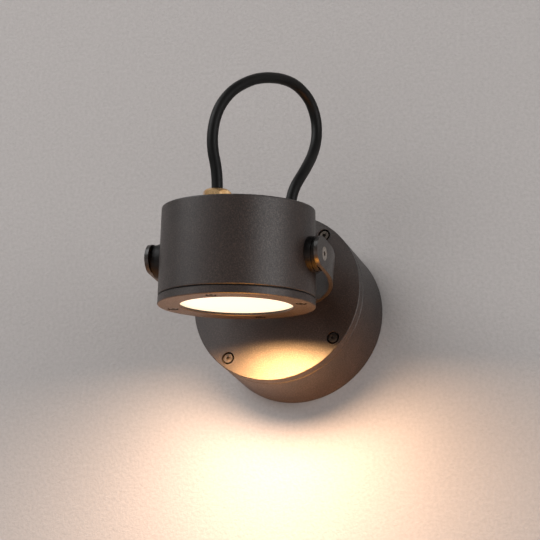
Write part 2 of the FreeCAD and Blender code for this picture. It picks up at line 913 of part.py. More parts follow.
def make_earth_washer():
    piece = ring("earth_washer", "screw_size", "screw_size / 2 + through_gap", "earth_washer_depth")
    place_at_cover(piece, "-earth_across", "drum_floor + earth_post_height", "earth_up")
    return piece


def make_earth_screw():
    piece = socket_screw(
        "earth_screw",
        "screw_size",
        "screw_head",
        "screw_head_height",
        "earth_post_height",
        "screw_socket",
    )
    seat = "drum_floor + earth_post_height + earth_washer_depth"
    place_at_cover(piece, "-earth_across", seat, "earth_up")
    return piece


# ---------------------------------------------------------------- swivel and strap


def make_swivel_liner():
    """Friction ring that the strap turns on."""
    piece = ring(
        "swivel_liner", "liner_radius", "bolt_size / 2 + bolt_gap", "liner_depth - rubbing_gap"
    )
    place_at_cover(piece, out="base_depth + rubbing_gap")
    return piece


def make_swivel_washer():
    piece = ring(
        "swivel_washer", "bolt_washer_radius", "bolt_size / 2 + bolt_gap", "bolt_washer_depth"
    )
    place_at_cover(piece, out="strap_front")
    return piece


def make_swivel_inner_washer():
    piece = ring(
        "swivel_inner_washer",
        "inner_washer_radius",
        "bolt_size / 2 + bolt_gap",
        "inner_washer_depth - rubbing_gap",
    )
    place_at_cover(piece, out="cover_back - inner_washer_depth")
    return piece


def make_swivel_nut():
    level = "cover_back - inner_washer_depth - nut_height"
    piece = less(
        "swivel_nut",
        hexagon("swivel_nut_body", "nut_size", "nut_height"),
        bar(
            "swivel_nut_thread",
            "bolt_size / 2 + thread_gap",
            "nut_height + 2 * overrun",
            level="-overrun",
        ),
    )
    place_at_cover(piece, out=level)
    return piece


def make_swivel_bolt():
    length = "bolt_seat - cover_back + inner_washer_depth + nut_height + bolt_past_nut"
    piece = socket_screw(
        "swivel_bolt", "bolt_size", "bolt_head", "bolt_head_height", length, "bolt_socket"
    )
    place_at_cover(piece, out="bolt_seat")
    return piece


def bent_outline(sketch, half_span, bend_radius, corner_radius, back, tip):
    """The strap's outer or inner side seen from above: two arms, two bends each, a flat middle.

    Every stretch runs on smoothly into the next, and only the open end has corners."""
    wide = size(half_span)
    big = size(bend_radius)
    small = size(corner_radius)
    rear = -size(back)
    start = -size("strap_bend_start")
    front = -size(tip)
    # the small bend touches the flat middle and lies inside the long bend
    rise = rear - small - start
    reach = math.sqrt((big - small) ** 2 - rise**2)
    meeting = math.atan2(rise, reach)
    middles = {
        1: (Vector(wide - big, start, 0), Vector(wide - big + reach, rear - small, 0)),
        -1: (Vector(big - wide, start, 0), Vector(big - wide - reach, rear - small, 0)),
    }
    flat = middles[1][1].x

    def bend(side, which, radius, first, last):
        arc = Part.ArcOfCircle(Part.Circle(middles[side][which], Z_AXIS, radius), first, last)
        return sketch.addGeometry(arc)

    end = sketch.addGeometry(Part.LineSegment(Vector(-wide, front, 0), Vector(wide, front, 0)))
    right = sketch.addGeometry(Part.LineSegment(Vector(wide, front, 0), Vector(wide, start, 0)))
    right_long = bend(1, 0, big, 0, meeting)
    right_small = bend(1, 1, small, meeting, math.pi / 2)
    middle = sketch.addGeometry(Part.LineSegment(Vector(flat, rear, 0), Vector(-flat, rear, 0)))
    left_small = bend(-1, 1, small, math.pi / 2, math.pi - meeting)
    left_long = bend(-1, 0, big, math.pi - meeting, math.pi)
    left = sketch.addGeometry(Part.LineSegment(Vector(-wide, start, 0), Vector(-wide, front, 0)))
    chain = [right, right_long, right_small, middle, left_small, left_long, left]
    for before, after in zip(chain, chain[1:]):
        sketch.addConstraint(Sketcher.Constraint("Tangent", before, 2, after, 1))
    sketch.addConstraint(Sketcher.Constraint("Coincident", end, 2, right, 1))
    sketch.addConstraint(Sketcher.Constraint("Coincident", left, 2, end, 1))
    for line in (end, middle):
        sketch.addConstraint(Sketcher.Constraint("Horizontal", line))
    for line in (right, left):
        sketch.addConstraint(Sketcher.Constraint("Vertical", line))
    for arc, radius in (
        (right_long, bend_radius),
        (left_long, bend_radius),
        (right_small, corner_radius),
        (left_small, corner_radius),
    ):
        held = sketch.addConstraint(Sketcher.Constraint("Radius", arc, size(radius)))
        bind(sketch, "Constraints[%d]" % held, radius)
    hold(sketch, "DistanceX", right, 1, half_span)
    hold(sketch, "DistanceX", left, 1, "-(%s)" % half_span)
    hold(sketch, "DistanceY", right, 1, "-(%s)" % tip)
    hold(sketch, "DistanceY", right, 2, "-strap_bend_start")
    hold(sketch, "DistanceY", left, 1, "-strap_bend_start")
    hold(sketch, "DistanceY", middle, 1, "-(%s)" % back)


def make_yoke_strap():
    """Bent strap: its flat middle lies on the swivel, its arms reach past the pivots of the head."""
    body = new_body("yoke_strap")
    sketch = new_sketch(body, "XY_Plane")
    bent_outline(
        sketch,
        "strap_half_span",
        "strap_bend_radius",
        "strap_corner_radius",
        "liner_front",
        "strap_tip",
    )
    pad(body, sketch, "strap_width", both_ways=True)
    sketch = new_sketch(body, "XY_Plane")
    bent_outline(
        sketch,
        "strap_inner_span",
        "strap_bend_radius - strap_thickness",
        "strap_corner_radius - strap_thickness",
        "strap_front",
        "strap_tip + overrun",
    )
    pocket(body, sketch, "strap_width + 2 * overrun", both_ways=True)
    # round ends
    tip_level = -size("strap_tip")
    corners = edges_where(
        body.Tip.Shape,
        lambda edge: abs(edge.Length - size("strap_thickness")) < 1e-3
        and abs(edge.CenterOfMass.y - tip_level) < 1e-3,
    )
    dress(body, "Fillet", corners, "Radius", "(strap_width - strap_tip_flat) / 2")
    # pivot holes, with their countersinks
    round_hole(
        body,
        "YZ_Plane",
        "0",
        "2 * (strap_half_span + overrun)",
        "-pivot_distance",
        "0",
        "pivot_screw / 2 + pivot_gap",
        both_ways=True,
    )
    reach = size("strap_half_span")
    rims = edges_where(
        body.Tip.Shape,
        lambda edge: is_circle(
            edge,
            size("pivot_screw / 2 + pivot_gap"),
            lambda centre: abs(abs(centre.x) - reach) < 1e-3,
        ),
    )
    dress(body, "Chamfer", rims, "Size", "pivot_screw_flare")
    # swivel hole
    round_hole(
        body,
        "XZ_Plane",
        "strap_front",
        "strap_thickness + overrun",
        "0",
        "0",
        "bolt_size / 2 + thread_gap",
    )
    return body


# ---------------------------------------------------------------- spot head


def make_head_housing():
    """Cast cup, closed at the top, with pivot bosses outside and inside."""
    body = new_body("head_housing")
    turned(
        body,
        "XZ_Plane",
        [
            ("0", "housing_end"),
            ("housing_end_radius - seam_break", "housing_end"),
            ("housing_end_radius", "housing_end + seam_break"),
            ("head_top_radius", "head_top"),
            ("0", "head_top"),
        ],
    )
    top = size("head_top")
    rim = edges_where(
        body.Tip.Shape,
        lambda edge: is_circle(
            edge, size("head_top_radius"), lambda centre: abs(centre.z - top) < 1e-3
        ),
    )
    dress(body, "Fillet", rim, "Radius", "head_edge_radius")
    # outer pivot bosses, as one bar that the hollow then cuts through
    sketch = new_sketch(body, "YZ_Plane")
    circle(sketch, "0", "0", "pivot_boss_radius")
    pad(body, sketch, "2 * pivot_boss_reach", both_ways=True)
    turned_cut(
        body,
        "XZ_Plane",
        [
            ("0", "housing_end - overrun"),
            ("head_inner_radius", "housing_end - overrun"),
            ("head_inner_radius", "head_top - head_top_wall"),
            ("0", "head_top - head_top_wall"),
        ],
    )
    # inner bosses round the pivot screws
    boss_depth = "head_inner_radius + rooting - pivot_inner_reach"
    for offset in ("pivot_inner_reach", "-pivot_inner_reach - (%s)" % boss_depth):
        round_pad(body, "YZ_Plane", offset, boss_depth, "0", "0", "pivot_inner_radius")
    # lugs for the ring screws
    lug = round_pad(
        body, "XY_Plane", "housing_end", "lug_height", "0", "-ring_screw_circle", "lug_radius"
    )
    repeat_round(body, [lug], "Z_Axis", 4)
    # posts that carry the heat spreader
    post_bottom = "spreader_level + spreader_depth"
    post = round_pad(
        body,
        "XY_Plane",
        post_bottom,
        "head_top - head_top_wall + rooting - (%s)" % post_bottom,
        "0",
        "spreader_post_circle",
        "spreader_post_radius",
    )
    repeat_round(body, [post], "Z_Axis", 3)
    # threaded holes
    hole = round_hole(
        body,
        "XY_Plane",
        "housing_end",
        "lug_height - 2 * blind_floor",
        "0",
        "-ring_screw_circle",
        "screw_size / 2 + thread_gap",
    )
    repeat_round(body, [hole], "Z_Axis", 4)
    hole = round_hole(
        body,
        "XY_Plane",
        post_bottom,
        "small_screw_length",
        "0",
        "spreader_post_circle",
        "small_screw / 2 + thread_gap",
    )
    repeat_round(body, [hole], "Z_Axis", 3)
    round_hole(
        body,
        "YZ_Plane",
        "0",
        "2 * (pivot_boss_reach + overrun)",
        "0",
        "0",
        "pivot_screw / 2 + thread_gap",
        both_ways=True,
    )
    round_hole(
        body,
        "XY_Plane",
        "head_top",
        "head_top_wall + overrun",
        "-gland_across",
        "0",
        "gland_thread / 2 + thread_gap",
    )
    place_on_head(body)
    return body


def make_head_gasket():
    outer = "head_radius - head_gasket_inset"
    piece = ring(
        "head_gasket", outer, outer + " - head_gasket_width", "head_gasket_depth", "ring_top"
    )
    place_on_head(piece)
    return piece


def make_front_ring():
    """Ring that holds the glass: a lip in front, a seat behind it, and recesses for four screws."""
    body = new_body("front_ring")
    seat = "glass_radius + glass_gap"
    lip_top = "head_face + ring_lip"
    turned(
        body,
        "XZ_Plane",
        [
            ("light_radius + edge_break", "head_face"),
            ("head_radius - edge_break", "head_face"),
            ("head_radius", "head_face + edge_break"),
            ("ring_top_radius", "ring_top - seam_break"),
            ("ring_top_radius - seam_break", "ring_top"),
            (seat, "ring_top"),
            (seat, lip_top),
            ("light_radius", lip_top),
            ("light_radius", "head_face + edge_break"),
        ],
    )
    hole = round_hole(
        body,
        "XY_Plane",
        "head_face",
        "ring_depth + overrun",
        "0",
        "-ring_screw_circle",
        "screw_size / 2 + through_gap",
    )
    recess = round_hole(
        body,
        "XY_Plane",
        "head_face",
        "ring_recess_depth",
        "0",
        "-ring_screw_circle",
        "ring_recess_size / 2",
    )
    repeat_round(body, [hole, recess], "Z_Axis", 4)
    place_on_head(body)
    return body


def make_ring_screws():
    screws = []
    for index in range(4):
        name = "ring_screw_%d" % (index + 1)
        screw = socket_screw(
            name,
            "screw_size",
            "ring_screw_head",
            "screw_head_height",
            "ring_screw_length",
            "screw_socket",
        )
        across = "ring_screw_circle * cos(%d)" % (90 * index)
        along = "ring_screw_circle * sin(%d)" % (90 * index)
        level = "head_face + ring_recess_depth"
        screw.Placement = FreeCAD.Placement(Vector(), FreeCAD.Rotation(X_AXIS, 180))
        bind(screw, "Placement.Base.x", across)
        bind(screw, "Placement.Base.y", along)
        bind(screw, "Placement.Base.z", level)
        screws.append(screw)
    whole = group("ring_screws", screws)
    place_on_head(whole)
    return whole


def make_lens_gasket():
    piece = ring(
        "lens_gasket",
        "glass_radius",
        "glass_radius - lens_gasket_width",
        "lens_gasket_depth",
        "head_face + ring_lip",
    )
    place_on_head(piece)
    return piece


def make_glass_lens():
    """Frosted glass disc that sits in the ring."""
    piece = bar("glass_lens", "glass_radius", "glass_depth")
    place_on_head(piece, level="glass_front")
    piece.Label = "glass_lens"
    return piece


def make_reflector():
    """Thin cone from the LED to the glass."""
    body = new_body("reflector")
    wide = "glass_radius - reflector_skin - glass_gap"
    turned(
        body,
        "XZ_Plane",
        [
            (wide, "glass_back"),
            (wide + " + reflector_skin", "glass_back"),
            ("reflector_neck + reflector_skin", "board_level"),
            ("reflector_neck", "board_level"),
        ],
    )
    place_on_head(body)
    return body


def make_heat_spreader():
    """Aluminium disc that carries the LED and leads its heat into the housing."""
    body = new_body("heat_spreader")
    sketch = new_sketch(body, "XY_Plane", "spreader_level")
    circle(sketch, "0", "0", "spreader_radius")
    pad(body, sketch, "spreader_depth")
    hole = round_hole(
        body,
        "XY_Plane",
        "spreader_level",
        "spreader_depth + overrun",
        "0",
        "spreader_post_circle",
        "small_screw / 2 + through_gap",
    )
    repeat_round(body, [hole], "Z_Axis", 3)
    place_on_head(body)
    return body


def make_spreader_screws():
    screws = []
    for index in range(3):
        name = "spreader_screw_%d" % (index + 1)
        screw = socket_screw(
            name,
            "small_screw",
            "small_screw_head",
            "small_screw_head_height",
            "spreader_depth + small_screw_length - small_hole_extra",
            "small_screw_socket",
        )
        turn = 90 + 120 * index
        screw.Placement = FreeCAD.Placement(Vector(), FreeCAD.Rotation(X_AXIS, 180))
        bind(screw, "Placement.Base.x", "spreader_post_circle * cos(%d)" % turn)
        bind(screw, "Placement.Base.y", "spreader_post_circle * sin(%d)" % turn)
        bind(screw, "Placement.Base.z", "spreader_level")
        screws.append(screw)
    whole = group("spreader_screws", screws)
    place_on_head(whole)
    return whole


def make_led_board():
    piece = bar("led_board", "board_radius", "board_depth")
    place_on_head(piece, level="board_level")
    return piece


def make_led_chip():
    piece = doc.addObject("Part::Box", "led_chip")
    bind(piece, "Length", "chip_size")
    bind(piece, "Width", "chip_size")
    bind(piece, "Height", "chip_depth")
    # its corner is the reference point of a box, so it is moved by half its size on the tilted head
    level = "(board_level - chip_depth)"
    place(
        piece,
        "-chip_size / 2",
        "pivot_distance + sin(head_tilt) * %s + cos(head_tilt) * chip_size / 2" % level,
        "cos(head_tilt) * %s - sin(head_tilt) * chip_size / 2" % level,
        X_AXIS,
        "head_tilt",
    )
    return piece


def make_pivot_washers():
    """Friction washers between the head's bosses and the strap, which touch it with a raised middle."""
    washers = []
    for side in (-1, 1):
        name = "pivot_washer_%d" % (len(washers) + 1)
        solid = joined(
            name + "_solid",
            [
                bar(name + "_rim", "pivot_washer_radius", "pivot_washer_depth - pivot_land_height"),
                bar(name + "_land", "pivot_land_radius", "pivot_washer_depth"),
            ],
        )
        hole = bar(
            name + "_hole",
            "pivot_screw / 2 + thread_gap",
            "pivot_washer_depth + 2 * overrun",
            level="-overrun",
        )
        washer = less(name, solid, hole)
        washer.Placement = FreeCAD.Placement(Vector(), FreeCAD.Rotation(Vector(0, 1, 0), 90 * side))
        bind(washer, "Placement.Base.x", "%d * pivot_boss_reach" % side)
        washers.append(washer)
    whole = group("pivot_washers", washers)
    place_on_head(whole)
    return whole


def make_pivot_screws():
    """Countersunk screws that the head tilts on, flush with the outside of the strap."""
    screws = []
    for side in (-1, 1):
        name = "pivot_screw_%d" % (len(screws) + 1)
        screw = socket_screw(
            name,
            "pivot_screw",
            "pivot_screw_head",
            "0",
            "pivot_screw_length",
            "pivot_screw_socket",
            sunk=True,
        )
        screw.Placement = FreeCAD.Placement(Vector(), FreeCAD.Rotation(Vector(0, 1, 0), 90 * side))
        bind(screw, "Placement.Base.x", "%d * (strap_half_span - pivot_gap / 2)" % side)
        screws.append(screw)
    whole = group("pivot_screws", screws)
    place_on_head(whole)
    return whole


# ---------------------------------------------------------------- glands


def seat_gland(piece, end):
    """Puts a gland piece, modelled above its seat at Z = 0, on the cover or on the head's top."""
    if end == "cover":
        place_at_cover(piece, "gland_across", "base_depth", "gland_up")
    else:
        place_on_head(piece, "-gland_across", "head_top")


def make_gland_body(end):
    """Hexagon, threaded spigot through the wall and neck that the nut goes over."""
    label = end + "_gland_body"
    solid = joined(
        label + "_solid",
        [
            hexagon(label + "_hexagon", "gland_flats", "gland_flange"),
            bar(label + "_spigot", "gland_thread / 2", "gland_spigot", level="-gland_spigot"),
            bar(label + "_neck", "gland_neck / 2", "seal_bottom"),
        ],
    )
    bore = bar(
        label + "_bore",
        "gland_bore / 2",
        "gland_spigot + gland_height",
        level="-gland_spigot - overrun",
    )
    piece = less(label, solid, bore)
    seat_gland(piece, end)
    return piece


def make_gland_nut(end):
    """Domed nut: a hexagon rounded off by a ball, hollow over the neck and the seal."""
    label = end + "_gland_nut"
    ball = doc.addObject("Part::Sphere", label + "_ball")
    bind(ball, "Radius", "gland_dome")
    bind(ball, "Placement.Base.z", "nut_bottom")
    domed = doc.addObject("Part::MultiCommon", label + "_domed")
    prism = hexagon(label + "_hexagon", "gland_flats", "gland_height - nut_bottom", "nut_bottom")
    domed.Shapes = [prism, ball]
    hollow = joined(
        label + "_hollow",
        [
            bar(
                label + "_cavity",
                "gland_neck / 2 + thread_gap",
                "gland_neck_height + gland_seal_height",
                level="gland_flange",
            ),
            bar(
                label + "_mouth",
                "flex_size / 2 + gland_mouth_gap",
                "gland_height",
                level="gland_flange + overrun",
            ),
        ],
    )
    piece = less(label, domed, hollow)
    seat_gland(piece, end)
    return piece


def make_gland_seal(end):
    piece = ring(
        end + "_gland_seal",
        "gland_seal_size / 2",
        "flex_size / 2 + thread_gap",
        "gland_seal_height",
        "seal_bottom",
    )
    seat_gland(piece, end)
    return piece


def make_gland_locknut(end):
    """Nut on the spigot, inside the cover's web or the head's top."""
    label = end + "_gland_locknut"
    skin = "cover_skin" if end == "cover" else "head_top_wall"
    level = "-%s - lock_nut_height" % skin
    piece = less(
        label,
        hexagon(label + "_body", "gland_flats", "lock_nut_height", level),
        bar(
            label + "_thread",
            "gland_thread / 2 + thread_gap",
            "lock_nut_height + 2 * overrun",
            level="%s - overrun" % level,
        ),
    )
    seat_gland(piece, end)
    return piece


def make_flex_tail(end):
    """The end of the flex that the gland grips, from the gland's mouth to inside."""
    label = "flex_tail_" + ("base" if end == "cover" else "head")
    tail = bar(label + "_sheath", "flex_size / 2", "gland_height + flex_tail", level="-flex_tail")
    piece = doc.addObject("Part::Compound", label)
    piece.Label = label
    piece.Links = [tail]
    seat_gland(piece, end)
    return piece


# ---------------------------------------------------------------- flex

ARC_SHARE = 0.45  # share of the shorter run that an arc takes at each of its ends
# Points of the loop in the open, from the head's gland over the top to the cover's gland.
LOOP_FROM_HEAD = [
    (-18.5, -138.5, 72),
    (-18, -140, 88),
    (-15, -137.5, 102.5),
    (-9, -129.5, 117),
    (0, -111, 132),
]
LOOP_TO_COVER = [
    (9.5, -82.5, 142),
    (16.5, -64, 137.5),
    (20, -54.5, 125),
    (21, -53.5, 110),
    (21, -59.5, 95.5),
    (21, -72.5, 79),
    (18, -82, 63),
    (16, -81, 48),
    (15, -71.2, 38),
]
LOOP_MEETING = (Vector(*LOOP_FROM_HEAD[-1]) + Vector(*LOOP_TO_COVER[0])) * 0.5  # of its two nodes


def above_head_gland(distance):
    """The point on the gland's axis that far out of its mouth."""
    level = size("head_height / 2 + gland_height") + distance
    tilt = math.radians(size("head_tilt"))
    return Vector(
        -size("gland_across"),
        -size("pivot_distance") - math.sin(tilt) * level,
        math.cos(tilt) * level,
    )


def cover_gland_mouth():
    return Vector(size("gland_across"), -size("base_depth + gland_height"), size("gland_up"))


def make_flex(label, points):
    """A round flex along straight runs joined by tangent arcs."""
    radius = size("flex_size") / 2
    edges = []
    last = points[0]
    arcs = []
    for before, corner, after in zip(points, points[1:], points[2:]):
        back = before - corner
        ahead = after - corner
        turn = math.pi - back.getAngle(ahead)
        trim = ARC_SHARE * min(back.Length, ahead.Length)
        arcs.append(trim / math.tan(turn / 2))
        start = corner + back.normalize() * trim
        finish = corner + ahead.normalize() * trim
        inward = (back + ahead).normalize()
        middle = corner + inward * (arcs[-1] / math.cos(turn / 2) - arcs[-1])
        edges.append(Part.LineSegment(last, start).toShape())
        edges.append(Part.Arc(start, middle, finish).toShape())
        last = finish
    edges.append(Part.LineSegment(last, points[-1]).toShape())
    path = Part.Wire(edges)
    section = Part.Wire(Part.Circle(points[0], points[1] - points[0], radius).toShape())
    piece = doc.addObject("Part::Feature", label)
    piece.Shape = path.makePipeShell([section], True, False)
    piece.Placement = FreeCAD.Placement()
    expected = math.pi * radius**2 * path.Length
    print(label, "length %.1f" % path.Length, "volume share %.4f" % (piece.Shape.Volume / expected))
    print(label, "radii", ["%.1f" % arc for arc in arcs])
    return piece


def make_flex_upper():
    points = [above_head_gland(0), above_head_gland(size("flex_straight"))]
    points += [Vector(*point) for point in LOOP_FROM_HEAD]
    return make_flex("flex_upper", points + [LOOP_MEETING])


def make_flex_lower():
    points = [LOOP_MEETING] + [Vector(*point) for point in LOOP_TO_COVER]
    return make_flex("flex_lower", points + [cover_gland_mouth()])


# ---------------------------------------------------------------- all of it

sub_parts = [
    make_base_housing(),
    make_wall_gasket(),
    make_cover_gasket(),
    make_front_cover(),
    make_cover_screws(),
    make_mains_grommet(),
    make_terminal_block(),
    make_terminal_clamps(),
    make_terminal_screw(),
    make_led_driver(),
    make_driver_screws(),
    make_earth_washer(),
    make_earth_screw(),
    make_swivel_liner(),
    make_swivel_washer(),
    make_swivel_inner_washer(),
    make_swivel_nut(),
    make_swivel_bolt(),
    make_yoke_strap(),
    make_head_housing(),
    make_head_gasket(),
    make_front_ring(),
    make_ring_screws(),
    make_lens_gasket(),
    make_glass_lens(),
    make_reflector(),
    make_heat_spreader(),
    make_spreader_screws(),
    make_led_board(),
    make_led_chip(),
    make_pivot_washers(),
    make_pivot_screws(),
    make_flex_upper(),
    make_flex_lower(),
]
for end in ("cover", "head"):
    sub_parts += [
        make_gland_body(end),
        make_gland_nut(end),
        make_gland_seal(end),
        make_gland_locknut(end),
        make_flex_tail(end),
    ]

doc.recompute()

failed = [item.Label for item in doc.Objects if "Invalid" in item.State or "Error" in item.State]
if failed:
    raise RuntimeError("these could not be made: " + ", ".join(failed))
for piece in sub_parts:
    if piece.Shape.isNull() or not piece.Shape.isValid():
        raise RuntimeError(piece.Label + " has no valid shape")

os.makedirs("parts", exist_ok=True)
for piece in sub_parts:
    piece.Shape.exportStep("parts/%s.step" % piece.Label)
    print(piece.Label, "solids", len(piece.Shape.Solids), "volume %.1f" % piece.Shape.Volume)
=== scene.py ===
import json
import math

import bmesh
import bpy
from mathutils import Matrix, Vector


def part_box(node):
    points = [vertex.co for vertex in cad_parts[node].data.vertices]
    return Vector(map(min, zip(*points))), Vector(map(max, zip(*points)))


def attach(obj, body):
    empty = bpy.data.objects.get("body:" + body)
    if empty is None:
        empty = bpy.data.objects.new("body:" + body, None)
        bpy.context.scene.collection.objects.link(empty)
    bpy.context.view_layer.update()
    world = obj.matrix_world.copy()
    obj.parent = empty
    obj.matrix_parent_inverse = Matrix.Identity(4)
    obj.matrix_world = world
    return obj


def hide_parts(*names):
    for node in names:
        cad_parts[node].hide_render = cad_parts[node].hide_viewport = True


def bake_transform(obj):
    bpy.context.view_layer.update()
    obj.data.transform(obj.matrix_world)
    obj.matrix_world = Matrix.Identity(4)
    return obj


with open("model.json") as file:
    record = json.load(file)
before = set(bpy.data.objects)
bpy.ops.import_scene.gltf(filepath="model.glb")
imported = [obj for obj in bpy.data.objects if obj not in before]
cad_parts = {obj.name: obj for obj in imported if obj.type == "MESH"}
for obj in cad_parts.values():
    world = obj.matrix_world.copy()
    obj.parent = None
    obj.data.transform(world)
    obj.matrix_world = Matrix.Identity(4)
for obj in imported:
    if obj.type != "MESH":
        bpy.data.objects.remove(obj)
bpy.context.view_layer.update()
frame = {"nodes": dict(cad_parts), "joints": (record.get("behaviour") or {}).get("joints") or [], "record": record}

# Looks of the pivoting spotlight wall light, in metres: +Z is up and the wall is the plane Y = 0.

MM = 0.001
scene = bpy.context.scene
nodes = frame["nodes"]


# ---------------------------------------------------------------- camera

CAMERA_PLACE = (0.50555, -1.34818, -0.48541)
CAMERA_TURNS = (21.51, 19.88, 4.90)  # yaw, pitch and roll, in degrees
CAMERA_LENS = 148.9  # in millimetres, as the sensor is
SENSOR_WIDTH = 36
CAMERA_REACH = 20


def make_camera():
    """The photograph is taken from the front right and from below, with a long lens."""
    yaw, pitch, roll = (math.radians(angle) for angle in CAMERA_TURNS)
    ahead = Vector(
        (-math.sin(yaw) * math.cos(pitch), math.cos(yaw) * math.cos(pitch), math.sin(pitch))
    )
    level = Vector((math.cos(yaw), math.sin(yaw), 0))
    above = level.cross(ahead)
    right = math.cos(roll) * level + math.sin(roll) * above
    up = math.cos(roll) * above - math.sin(roll) * level
    data = bpy.data.cameras.new("camera")
    data.lens = CAMERA_LENS
    data.sensor_width = SENSOR_WIDTH
    data.clip_end = CAMERA_REACH
    camera = bpy.data.objects.new("camera", data)
    scene.collection.objects.link(camera)
    turn = Matrix((right, up, -ahead)).transposed().to_4x4()
    camera.matrix_world = Matrix.Translation(CAMERA_PLACE) @ turn
    scene.camera = camera


# ---------------------------------------------------------------- material nodes

NOISE_SWING = {"From Min": 0.3, "From Max": 0.7}  # noise mostly stays between these


def linear(code, alpha=1.0):
    """An sRGB hex colour as the linear values that Blender's sockets take."""
    channels = [int(code[place : place + 2], 16) / 255 for place in (1, 3, 5)]
    flat = [c / 12.92 if c <= 0.04045 else ((c + 0.055) / 1.055) ** 2.4 for c in channels]
    return (*flat, alpha)


def add(tree, kind, values=None, links=None, stops=None, **settings):
    """A node with its settings, its inputs' values and links, and a ramp's (position, colour) stops."""
    node = tree.nodes.new(kind)
    for name, value in settings.items():
        setattr(node, name, value)
    for name, value in (values or {}).items():
        node.inputs[name].default_value = value
    for name, socket in (links or {}).items():
        tree.links.new(socket, node.inputs[name])
    if stops:
        elements = node.color_ramp.elements
        while len(elements) < len(stops):
            elements.new(0.5)
        for element, (position, colour) in zip(elements, stops):
            element.position = position
            element.color = linear(colour)
    return node


def new_material(name):
    """A material, its empty node tree and the place on the object that its patterns follow."""
    material = bpy.data.materials.new(name)
    material.use_nodes = True
    tree = material.node_tree
    tree.nodes.clear()
    place = add(tree, "ShaderNodeTexCoord").outputs["Object"]
    return material, tree, place


# ---------------------------------------------------------------- materials

BOSS_RADIUS = 11.4 * MM
BOSS_MARGIN = 0.05 * MM
GLASS_REACH = 36 * MM  # from the glass's middle to just past the ring's opening, where it stops showing


def powder_coat(tree, place, tones, roughness, relief):
    """A powder coat, baked on, in the tones of its pits, its skin and its grit's bright tips.

    The grit is 0.3 mm, and is drawn about 0.9 mm wide, because finer grit doesn't show."""
    pits, skin_tone, tips = tones
    grit = add(
        tree,
        "ShaderNodeTexNoise",
        {"Scale": 1 / (0.9 * MM), "Detail": 2, "Roughness": 0.6},
        {"Vector": place},
    )
    clouds = add(
        tree,
        "ShaderNodeTexNoise",
        {"Scale": 1 / (16 * MM), "Detail": 2, "Roughness": 0.5},
        {"Vector": place},
    )
    grains = add(
        tree,
        "ShaderNodeValToRGB",
        links={"Fac": grit.outputs["Fac"]},
        stops=[(0.32, pits), (0.5, skin_tone), (0.7, tips)],
    )
    shade = add(
        tree,
        "ShaderNodeValToRGB",
        links={"Fac": clouds.outputs["Fac"]},
        stops=[(0.35, "#e4e4e4"), (0.65, "#ffffff")],
    )
    # the Mix node's colours are its sockets 6 and 7, and its result is output 2
    tone = add(
        tree,
        "ShaderNodeMix",
        {0: 1},
        {6: grains.outputs["Color"], 7: shade.outputs["Color"]},
        data_type="RGBA",
        blend_type="MULTIPLY",
    )
    gloss = add(
        tree,
        "ShaderNodeMapRange",
        {**NOISE_SWING, "To Min": roughness + 0.07, "To Max": roughness - 0.07},
        {"Value": grit.outputs["Fac"]},
    )
    dents = add(
        tree,
        "ShaderNodeBump",
        {"Strength": 0.8, "Distance": relief * MM},
        {"Height": grit.outputs["Fac"]},
    )
    return add(
        tree,
        "ShaderNodeBsdfPrincipled",
        {"IOR": 1.5},
        {
            "Base Color": tone.outputs[2],
            "Roughness": gloss.outputs["Result"],
            "Normal": dents.outputs["Normal"],
        },
    )


def coated_casting():
    """Die-cast aluminium with a matte, faintly sparkling anthracite coat of fine grit.

    The head's pivot bosses, within the boss radius of the pivot's axis, are drawn near black and smoother than the
    coat."""
    material, tree, place = new_material("powder_coated_aluminium")
    coat = powder_coat(tree, place, ("#1b1614", "#272120", "#3c3430"), 0.44, 0.1)
    pivot = next(joint["pos_m"] for joint in frame["joints"] if joint["name"] == "head_tilt")
    from_pivot = add(
        tree, "ShaderNodeVectorMath", {1: pivot}, {0: place}, operation="SUBTRACT"
    )
    across_axis = add(
        tree,
        "ShaderNodeVectorMath",
        {1: (0, 1, 1)},
        {0: from_pivot.outputs["Vector"]},
        operation="MULTIPLY",
    )
    reach = add(
        tree, "ShaderNodeVectorMath", links={0: across_axis.outputs["Vector"]}, operation="LENGTH"
    )
    on_boss = add(
        tree,
        "ShaderNodeMath",
        {1: BOSS_RADIUS + BOSS_MARGIN},
        {0: reach.outputs["Value"]},
        operation="LESS_THAN",
    )
    smears = add(
        tree,
        "ShaderNodeTexNoise",
        {"Scale": 1 / (2 * MM), "Detail": 2, "Roughness": 0.5},
        {"Vector": place},
    )
    gloss = add(
        tree,
        "ShaderNodeMapRange",
        {**NOISE_SWING, "To Min": 0.4, "To Max": 0.5},
        {"Value": smears.outputs["Fac"]},
    )
    bare = add(
        tree,
        "ShaderNodeBsdfPrincipled",
        {"Base Color": linear("#0a0808"), "IOR": 1.5, "Specular IOR Level": 0.2},
        {"Roughness": gloss.outputs["Result"]},
    )
    surface = add(
        tree,
        "ShaderNodeMixShader",
        links={0: on_boss.outputs["Value"], 1: coat.outputs["BSDF"], 2: bare.outputs["BSDF"]},
    )
    add(tree, "ShaderNodeOutputMaterial", links={"Surface": surface.outputs["Shader"]})
    return material


def coated_steel():
    """Bent steel strip with a smoother coat, near black in the shade and with grey highlights."""
    material, tree, place = new_material("powder_coated_steel")
    coat = powder_coat(tree, place, ("#161311", "#1f1b19", "#2b2724"), 0.34, 0.04)
    add(tree, "ShaderNodeOutputMaterial", links={"Surface": coat.outputs["BSDF"]})
    return material


